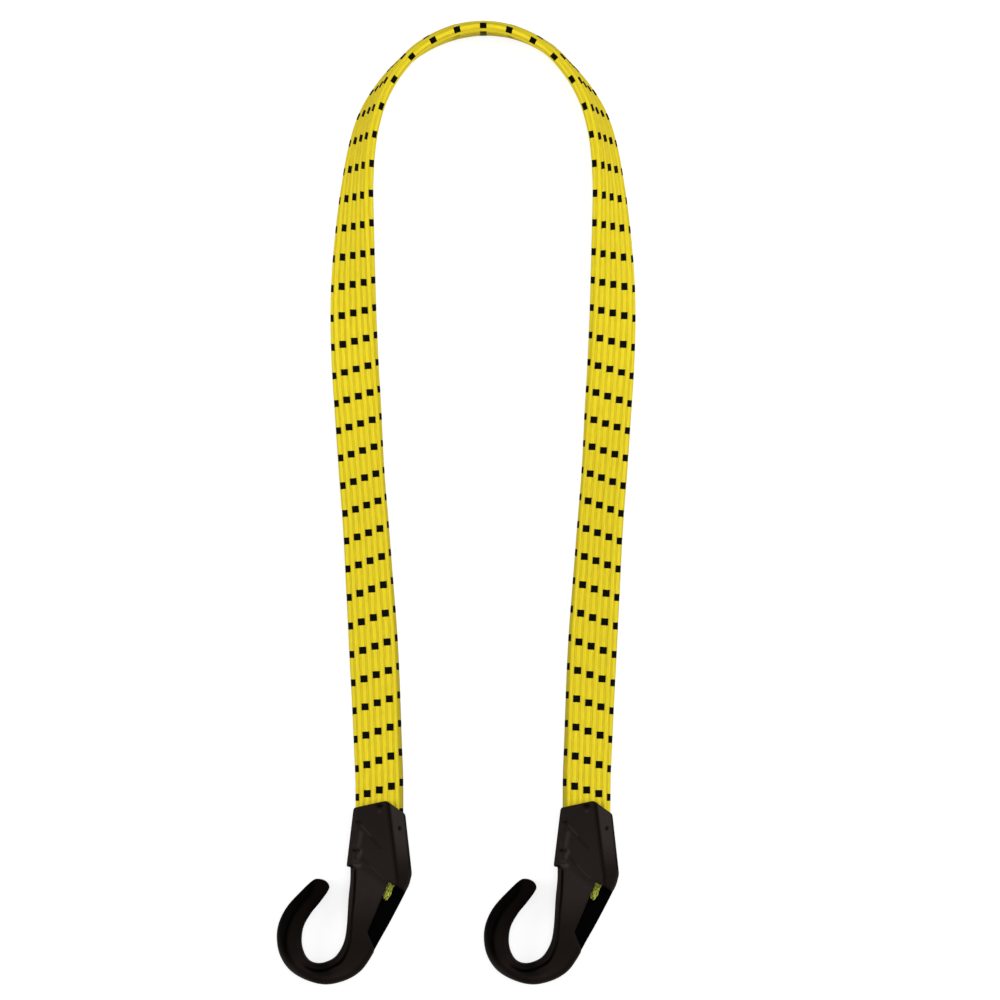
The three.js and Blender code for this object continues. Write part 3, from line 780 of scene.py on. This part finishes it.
# Painted highlights on the teeth and rib crests, and painted shade in the notches and dimples, on the
# socket, in millimetres: two ends, half width and tone
PAINTED_MARKS = [
    ((-7.2, -10.4), (-8.2, -15.4), 1.7, 0.68),
    ((-7.3, -17.4), (-7.9, -19.4), 1.4, 0.84),
    ((-8.4, -21.0), (-9.4, -21.3), 1.1, 0.62),
    ((-7.8, -23.0), (-9.6, -22.9), 1.5, 0.84),
    ((-7.0, -7.4), (-3.6, -11.2), 0.8, 0.68),
    ((-3.6, -23.0), (1.4, -28.2), 0.8, 0.64),
    ((-8.6, -6.0), (-7.9, -6.1), 1.0, 0.24),
    ((-10.2, -16.9), (-9.6, -17.1), 0.9, 0.16),
    ((-8.3, -16.9), (-7.9, -17.3), 0.8, 0.26),
    ((-11.5, -23.2), (-10.7, -23.3), 0.9, 0.10),
    ((-0.6, 0.3), (0.6, 0.3), 1.4, 0.10),
    ((-0.2, -1.9), (0.3, -1.9), 0.8, 0.66),
    ((7.8, -8.3), (7.8, -8.7), 1.1, 0.18),
]


def soft_max(a, b, softness):
    """The larger of two values, rounded off where they are nearly equal."""
    return np.maximum(a, b) + np.maximum(softness - np.abs(a - b), 0) ** 2 / (4 * softness)


def round_edge(side, height, radius):
    """Field inside two sides that meet in a round edge."""
    outside = np.hypot(np.maximum(side, 0), np.maximum(height, 0))
    return outside + np.minimum(np.maximum(side, height), 0) - radius


def line_distance(start, end, x, y):
    """Distance from the straight line between two ends."""
    (ax, ay), (bx, by) = start, end
    run_x, run_y = bx - ax, by - ay
    along = np.clip(((x - ax) * run_x + (y - ay) * run_y) / (run_x**2 + run_y**2), 0, 1)
    return np.hypot(x - ax - run_x * along, y - ay - run_y * along)


def line_reach(points, x, y):
    """Distance from an open line through the points."""
    nearest = np.full(np.broadcast(x, y).shape, np.inf)
    for start, end in zip(points, points[1:]):
        nearest = np.minimum(nearest, line_distance(start, end, x, y))
    return nearest


def outline_distance(points, x, y):
    """Signed distance from a closed outline, negative inside."""
    nearest = line_reach(np.vstack([points, points[:1]]), x, y)
    inside = np.zeros(nearest.shape, bool)
    for (ax, ay), (bx, by) in zip(points, np.roll(points, -1, axis=0)):
        if ay != by:
            inside ^= ((ay > y) != (by > y)) & (x < ax + (bx - ax) * (y - ay) / (by - ay))
    return np.where(inside, -nearest, nearest)


def filleted(points, reach):
    """Outline with each corner rounded over that reach."""
    rounded = []
    for before, corner, after in zip(np.roll(points, 1, axis=0), points, np.roll(points, -1, axis=0)):
        start = corner + (before - corner) * reach / np.linalg.norm(before - corner)
        end = corner + (after - corner) * reach / np.linalg.norm(after - corner)
        for t in np.linspace(0, 1, CORNER_POINTS):
            rounded.append((1 - t) ** 2 * start + 2 * t * (1 - t) * corner + t**2 * end)
    return np.array(rounded)


def hook_plan(x, y):
    """Signed distances from the outlines of the socket and of the whole hook."""
    socket = outline_distance(filleted(SOCKET_OUTLINE, SOCKET_CORNER) * MM, x, y)
    outline = smooth_through([*ARM_INNER, *ARM_TIP, *ARM_OUTER], OUTLINE_SAMPLES)
    arm = outline_distance(np.vstack([outline, ARM_ROOT]) * MM, x, y)
    return socket, np.minimum(socket, arm)


def bowl_turn(x, y):
    """Degrees round the bowl's middle, from the shank's side over the top."""
    return np.degrees(np.arctan2(y - BOWL_MIDDLE[1], x - BOWL_MIDDLE[0])) % 360


def bevel_teeth(share, y):
    """Teeth on the left bevel, by the share of its width from the outer side."""
    teeth = np.zeros(np.broadcast(share, y).shape)
    for notch in NOTCHES:
        rise = 1 - (y - notch) / TOOTH_LENGTH
        teeth += TOOTH_HEIGHT * np.where(rise <= 1, np.maximum(rise, 0), 0)
    start, full, leave, end = TOOTH_SPAN
    return teeth * (smoothstep(share, start, full) - smoothstep(share, leave, end))


def ridge_at(y):
    """Place in x of the ridge between the socket's front and its right bevel."""
    return RIDGE_AT_MOUTH - RIDGE_LEAN * y


def front_relief(x, y):
    """Slanted ribs, the groove along the ridge and the small dimples on the front."""
    relief = np.zeros(np.broadcast(x, y).shape)
    for start, end in FRONT_RIBS:
        reach = line_distance(start, end, x, y)
        relief += FRONT_RIB_HEIGHT * (1 - smoothstep(reach, 0, FRONT_RIB_WIDTH / 2))
    width, depth = RIDGE_GROOVE
    relief -= depth * (1 - smoothstep(np.abs(x - ridge_at(y)), 0, width)) * (y > RIDGE_FOOT)
    for place_x, place_y in DIMPLES:
        reach = np.hypot(x - place_x, y - place_y)
        relief -= DIMPLE_DEPTH * (1 - smoothstep(reach, 0, DIMPLE_RADIUS))
    return relief


def arm_share(x, y):
    """Share of the way across the arm, from its inner to its outer side."""
    inner = line_reach(smooth_through(ARM_INNER, OUTLINE_SAMPLES) * MM, x, y)
    outer = line_reach(smooth_through(ARM_OUTER, OUTLINE_SAMPLES) * MM, x, y)
    return inner / (inner + outer)


def arm_crease(x, y):
    """How far the arm's front falls away on both sides of its crease."""
    share = arm_share(x, y)
    inner_fall = INNER_FALL * np.maximum(CREASE_SHARE - share, 0) / CREASE_SHARE
    outer_fall = OUTER_FALL * np.maximum(share - CREASE_SHARE, 0) / (1 - CREASE_SHARE)
    turn = bowl_turn(x, y)
    round_bowl = (1 - smoothstep(turn, *CREASE_FADE)) * (turn > CREASE_START)
    return (inner_fall + outer_fall) * round_bowl * (1 - smoothstep(y, *CREASE_TIP))


def ledge_share(x, y):
    """Share of the way down the slanted wall to the inner ledge, and how far the ledge is formed."""
    line = smooth_through(LEDGE_LINE, OUTLINE_SAMPLES)
    beyond = -outline_distance(np.vstack([line, LEDGE_SIDE]) * MM, x, y)
    formed = np.where(y < BOWL_MIDDLE[1], smoothstep(x, *LEDGE_FADE), x > SHANK_SIDE)
    return np.clip(beyond / WALL_RUN, 0, 1), formed


def hook_heights(x, y, socket):
    """Heights of the hook's front and back over its middle plane."""
    left = MOUTH_LEFT - LEFT_FLARE * y
    right = MOUTH_RIGHT - RIGHT_FLARE * y
    share = (x - left) / (BEVEL_AT_MOUTH - BEVEL_GROWTH * y)
    bevelled = SOCKET_HALF - LEFT_DROP * np.clip(1 - share, 0, 1)
    shank = ARM_HALF + (SOCKET_HALF - ARM_HALF) * smoothstep(y, *SHANK_GROWTH)
    inside = 1 - smoothstep(socket, -STEP_HALF, STEP_HALF)
    slope = RIGHT_DROP * np.maximum((x - ridge_at(y)) / (right - ridge_at(y)), 0)
    slope = slope * (y > RIGHT_BEVEL_FOOT)
    teeth = bevel_teeth(share, y)
    down, formed = ledge_share(x, y)
    inner = shank - arm_crease(x, y) - LEDGE_DROP * down * formed
    front = (bevelled + teeth) * inside + inner * (1 - inside)
    back = bevelled * inside + shank * (1 - inside)
    return front - slope + front_relief(x, y), back - slope


def moulding_field(x, y, z):
    """The whole hook without its hollows: its plan between front and back, with round edges."""
    socket, rim = hook_plan(x, y)
    front, back = hook_heights(x, y, socket)
    edge = ARM_ROUND + (SHANK_ROUND - ARM_ROUND) * smoothstep(y, *SHANK_GROWTH)
    edge = SOCKET_ROUND + (edge - SOCKET_ROUND) * smoothstep(socket, *ROUND_BLEND)
    side = (rim + edge)[..., None]
    height = np.maximum(z - (front - edge)[..., None], -z - (back - edge)[..., None])
    return round_edge(side, height, edge[..., None])


def passage_field(x, y, z):
    """Room for the band from the mouth to its gathered end."""
    middle, half_width, half_height = (np.interp(y, PASSAGE[:, 0], PASSAGE[:, i]) for i in (1, 2, 3))
    round_off = np.minimum(PASSAGE_ROUND, np.minimum(half_width, half_height))
    side = (np.abs(x - middle) - half_width + round_off)[..., None]
    height = np.abs(z) - (half_height - round_off)[..., None]
    tube = round_edge(side, height, round_off[..., None])
    return np.maximum(tube, (PASSAGE[0, 0] - y)[..., None])


def chamber_field(x, y, z):
    """Room for the crimp."""
    half_width, half_height, low, high = CHAMBER
    plan = np.maximum(np.abs(x) - half_width, np.maximum(low - y, y - high))
    return np.maximum(plan[..., None], np.abs(z) - half_height)


def pocket_field(x, y, z):
    """The pocket on the lower right, open to the front and the right."""
    return np.maximum(outline_distance(POCKET, x, y)[..., None], POCKET_FLOOR - z)


def hook_surface():
    """Points and quads of the hook's surface."""
    counts = np.ceil((HOOK_HIGH - HOOK_LOW) / VOXEL).astype(int)
    x, y, z = (low + np.arange(n) * VOXEL for low, n in zip(HOOK_LOW, counts))
    x, y, z = x[:, None], y[None, :], z[None, None, :]
    body = moulding_field(x, y, z)
    for hollow in (passage_field, chamber_field):
        body = np.maximum(body, -hollow(x, y, z))
    body = soft_max(body, -pocket_field(x, y, z), POCKET_SOFTNESS)
    grid = openvdb.FloatGrid(1.0)
    grid.copyFromArray((body / VOXEL).astype(np.float32))
    points, quads = grid.convertToQuads(0.0)
    return HOOK_LOW + points * VOXEL, quads[:, ::-1]


def on_shank(x, y):
    """Whether a place lies on the shank or the socket, not on the bowl or the arm."""
    return (y > BOWL_MIDDLE[1]) & (x > SHANK_SIDE)


def arm_tone(x, y):
    """Tone of the arm, bowl and shank, painted light and shade: darkest along the crease and on the wall
    down to the ledge, where shade falls.
    """
    turn = bowl_turn(x, y)
    past = (arm_share(x, y) - np.interp(turn, LINE_TURNS, LINE_SHARES)) / LINE_HALF
    outer = np.interp(turn, OUTER_TURNS, OUTER_SHARES)
    tone = np.interp(turn, ARM_TURNS, ARM_TONES) * (1 + (outer - 1) * smoothstep(past, -1, 1))
    tone *= 1 - np.exp(-(past**2)) * (1 - smoothstep(turn, *LINE_END))
    tone = np.where(on_shank(x, y), np.interp(y, SHANK_LEVELS, SHANK_TONES), tone)
    down, formed = ledge_share(x, y)
    wall = formed * np.interp(y, WALL_LEVELS, WALL_SHADES)
    return tone * (1 - wall * np.sqrt(4 * down * (1 - down)))


def socket_tone(x, y):
    """Tone of the socket, painted light and shade: painted light on the right bevel, painted shade along
    the ridge and rim, and the painted marks.
    """
    past = x - ridge_at(y)
    bevel = np.interp(y, BEVEL_LEVELS, BEVEL_TONES)
    front = np.interp(y, FRONT_LEVELS, FRONT_TONES)
    tone = front + (bevel - front) * smoothstep(past, *BEVEL_EDGE)
    width, strength = RIDGE_SHADE
    tone *= 1 - strength * np.exp(-((past / width) ** 2))
    begin, full, strength = RIM_SHADE
    tone *= 1 - strength * smoothstep(x - MOUTH_RIGHT + RIGHT_FLARE * y, -begin, -full)
    for start, end, half, mark in PAINTED_MARKS:
        reach = line_distance(np.array(start) * MM, np.array(end) * MM, x, y) / (half * MM)
        tone += (mark - tone) * (1 - smoothstep(reach, 0, 1))
    return tone


def hollow_share(x, y, z, front):
    """Share of painted shade: 1 on the walls of the hollows, 0 on the outside."""
    pocket = outline_distance(POCKET, x, y)
    over = 1 - smoothstep(pocket, -HOLLOW_RIM, HOLLOW_RIM)
    wall = smoothstep(front - z, *HOLLOW_DEPTH) * (pocket < HOLLOW_RIM)
    inside = np.maximum(over, wall) * (z > POCKET_FLOOR - HOLLOW_RIM)
    passage = passage_field(x, y, z[:, None])[:, 0]
    return np.maximum(inside, passage < HOLLOW_RIM)


def hook_tone(points):
    """Tone of the plastic at each point, painted light and shade; the back is plain."""
    x, y, z = points.T
    socket, _ = hook_plan(x, y)
    height, _ = hook_heights(x, y, socket)
    below = smoothstep(socket, -SOCKET_BLEND, 0) * (1 - smoothstep(y, *SOCKET_FOOT))
    front = socket_tone(x, y) * (1 - below) + arm_tone(x, y) * below
    plain = np.interp(bowl_turn(x, y), ARM_TURNS, ARM_TONES)
    plain = np.where(on_shank(x, y), BACK_TONE, plain)
    tone = plain + (front - plain) * smoothstep(z, *SIDE_LEVELS)
    return tone + (HOLLOW_PAINTED_SHADE - tone) * hollow_share(x, y, z, height)


def hook_place(side):
    """The middle of a hook's mouth."""
    return np.array([HOOK_X[side], MOUTH_Y, HOOK_HALF])


def hook_piece(side, points, quads):
    """One moulded hook in its place, with its tone of painted light and shade."""
    name = f"moulded_hook_{side}"
    piece = mesh_piece(name, points + hook_place(side), quads.tolist(), [black_plastic()])
    tone = piece.data.attributes.new("tone", "FLOAT", "POINT")
    tone.data.foreach_set("value", hook_tone(points))
    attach(piece, f"{side}_hook")
    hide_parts(f"hook_{side}")


# Gathered end of the band: yarns that run through the crimp and show in the pocket. The bundle's
# middle line, and its half width and half height at each of those points.

GATHER_LINE = np.array([
    (0.0, -9.0, 0.0), (0.0, -21.0, 0.0), (2.4, -26.0, 0.2), (4.3, -30.0, 0.6), (3.9, -32.0, 0.8),
    (3.1, -34.3, 0.8), (2.2, -36.6, 0.6),
]) * MM
GATHER_HALF = np.array([
    (6.0, 1.5), (5.4, 1.5), (2.2, 1.2), (1.3, 0.8), (1.2, 0.8), (1.1, 0.7), (0.9, 0.5),
]) * MM
GATHER_SAMPLES = 12
YARN_COUNT = 18
YARN_RADII = (0.6 * MM, 0.36 * MM)  # in the crimp and in the pocket
YARN_TAPER = (0.5, 0.8)  # shares of the run between which the yarns get thinner
YARN_TRIM = 10  # samples by which a yarn ends early at most
YARN_SIDES = 8
YARN_WAVE = 0.22 * MM
YARN_WAVES = 7
WAVE_SHIFT = 2.1  # radians from one yarn's wave to the next one's
WAVE_RISE = 0.6  # share of the wave that goes up and down
GOLDEN_SHARE = 0.618
GOLDEN_TURN = math.pi * (3 - math.sqrt(5))


def yarn_rings(index):
    """Rings of one yarn of the bundle; the yarns end at different lengths."""
    line = smooth_through(np.column_stack([GATHER_LINE, GATHER_HALF]), GATHER_SAMPLES)
    shorter = round(YARN_TRIM * (index * GOLDEN_SHARE % 1))
    line = line[: len(line) - shorter]
    reach = math.sqrt((index + 0.5) / YARN_COUNT)
    turn = index * GOLDEN_TURN
    run = np.linspace(0, 1, len(line))
    wave = YARN_WAVE * run * np.sin(YARN_WAVES * math.pi * run + WAVE_SHIFT * index)
    middle = line[:, :3].copy()
    middle[:, 0] += reach * math.cos(turn) * line[:, 3] + wave
    middle[:, 2] += reach * math.sin(turn) * line[:, 4] + WAVE_RISE * wave
    radius = YARN_RADII[0] + (YARN_RADII[1] - YARN_RADII[0]) * smoothstep(run, *YARN_TAPER)
    turns = ring_turns(YARN_SIDES)
    circle = np.column_stack([np.cos(turns), np.zeros(YARN_SIDES), np.sin(turns)])
    return middle[:, None] + radius[:, None, None] * circle[None]


def gathered_end(side):
    """The bundle of yarns in a hook."""
    points, faces = [], []
    start = 0
    for index in range(YARN_COUNT):
        rings = yarn_rings(index)
        points.append(rings.reshape(-1, 3))
        faces += tube_faces(len(rings), YARN_SIDES, start)
        start += len(points[-1])
    name = f"gathered_end_{side}"
    piece = mesh_piece(name, np.vstack(points) + hook_place(side), faces, [frayed_yarn()])
    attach(piece, f"{side}_hook")
    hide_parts(f"band_end_{side}")


# Floor, light and camera

FLOOR_HALF = 8.0
FLOOR_COLOUR = (0.4, 0.4, 0.4, 1)
FLOOR_GLOW = 0.74  # the light of its own that the camera sees on the floor
LAMPS = {  # place, size across and power in watts
    "above": ((0.2, 0.3, 2.2), 1.4, 16.0),
    "left": ((-1.6, 0.2, 1.0), 1.2, 18.0),
    "right": ((1.7, 0.2, 1.0), 1.2, 20.0),
}
WORLD_STRENGTH = 0.3
CAMERA_HEIGHT = 8.0
PICTURE_WIDTH = 0.390
PICTURE_LEVEL = 9 * MM  # height at which the picture takes in that width
PICTURE_MIDDLE = (MIDDLE_X + 6.63 * MM, MOUTH_Y + 119.53 * MM)
SENSOR = 36.0


def floor():
    """Plain floor under the object."""
    corners = np.array([(-1, -1, 0), (1, -1, 0), (1, 1, 0), (-1, 1, 0)]) * FLOOR_HALF
    piece = mesh_piece("floor", corners, [(0, 1, 2, 3)], [pale_floor()])


def lamp(name, place, size, power):
    """Round soft lamp, turned to the middle of the picture."""
    light = bpy.data.lights.new(name, "AREA")
    light.shape = "DISK"
    light.size = size
    light.energy = power
    holder = bpy.data.objects.new(name, light)
    holder.location = place
    aim = -holder.location.copy()
    aim.x += PICTURE_MIDDLE[0]
    aim.y += PICTURE_MIDDLE[1]
    holder.rotation_euler = aim.to_track_quat("-Z", "Y").to_euler()
    bpy.context.collection.objects.link(holder)


def world(strength):
    """White surroundings, dimmed to that strength for all but the camera."""
    made = bpy.data.worlds.new("studio")
    made.use_nodes = True
    tree = made.node_tree
    back = tree.nodes["Background"]
    back.inputs["Color"].default_value = (1, 1, 1, 1)
    path = tree.nodes.new("ShaderNodeLightPath")
    seen = tree.nodes.new("ShaderNodeMapRange")
    seen.inputs["To Min"].default_value = strength
    tree.links.new(path.outputs["Is Camera Ray"], seen.inputs["Value"])
    tree.links.new(seen.outputs["Result"], back.inputs["Strength"])
    bpy.context.scene.world = made


def camera():
    """Camera high above the middle of the picture, looking straight down."""
    data = bpy.data.cameras.new("camera")
    data.sensor_width = SENSOR
    data.lens = SENSOR * (CAMERA_HEIGHT - PICTURE_LEVEL) / PICTURE_WIDTH
    holder = bpy.data.objects.new("camera", data)
    holder.location = (*PICTURE_MIDDLE, CAMERA_HEIGHT)
    bpy.context.collection.objects.link(holder)
    bpy.context.scene.camera = holder


# Assembly


def strand_nodes(stretch):
    """Names of the frame's strands in a stretch of the sleeve."""
    return [f"strand_{stretch}_{i + 1}" for i in range(STRAND_COUNT)]


def cut_length(row):
    """Length from the crown to a row, along the middle of the band's face."""
    return float(row_lengths(np.array(row), np.array(0.0)))


def bend_pieces():
    """The bend's sleeve and strands."""
    end = cut_length(BEND_ROWS)
    sleeve = sleeve_piece("woven_sleeve_bend", -BEND_ROWS, BEND_ROWS)
    strands = strands_piece("rubber_strands_bend", -end, end)
    for piece in (sleeve, strands):
        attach(piece, "bend")
    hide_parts("sleeve_bend")
    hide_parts(*strand_nodes("bend"))


def lead_pieces(side, sign):
    """The sleeve and strands next to a hook."""
    cut = cut_length(sign * LEAD_ROWS)
    last = sign * (route.lengths[-1] - ROUTE_RUN_IN - FLEX_LENGTH)
    rows = np.sort([sign * LEAD_ROWS, sign * SOCKET_ROWS])
    sleeve = sleeve_piece(f"woven_sleeve_lead_{side}", *rows)
    strands = strands_piece(f"rubber_strands_lead_{side}", *np.sort([cut, last]))
    for piece in (sleeve, strands):
        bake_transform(piece)
    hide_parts(f"band_end_{side}")
    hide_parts(*strand_nodes(side))
    return [sleeve, strands]


def leg_pieces(side, sign):
    """A leg's sleeve and strands, and its lead."""
    top, low = cut_length(sign * BEND_ROWS), cut_length(sign * LEAD_ROWS)
    rows = np.sort([sign * BEND_ROWS, sign * LEAD_ROWS])
    sleeve = sleeve_piece(f"woven_sleeve_{side}", *rows)
    strands = strands_piece(f"rubber_strands_{side}", *np.sort([top, low]))
    for piece in (sleeve, strands):
        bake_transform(piece)
    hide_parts(f"sleeve_{side}")
    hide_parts(*strand_nodes(side))
    lead = lead_pieces(side, sign)


bend_pieces()
for side, sign in SIDES.items():
    leg_pieces(side, sign)
hook_points, hook_quads = hook_surface()
for side in SIDES:
    hook_piece(side, hook_points, hook_quads)
    gathered_end(side)
    frame["nodes"][f"crimp_{side}"].data.materials[0] = brushed_steel()

floor()
for name, (place, size, power) in LAMPS.items():
    lamp(name, place, size, power)
world(WORLD_STRENGTH)
camera()
bpy.context.scene.view_settings.view_transform = "Standard"
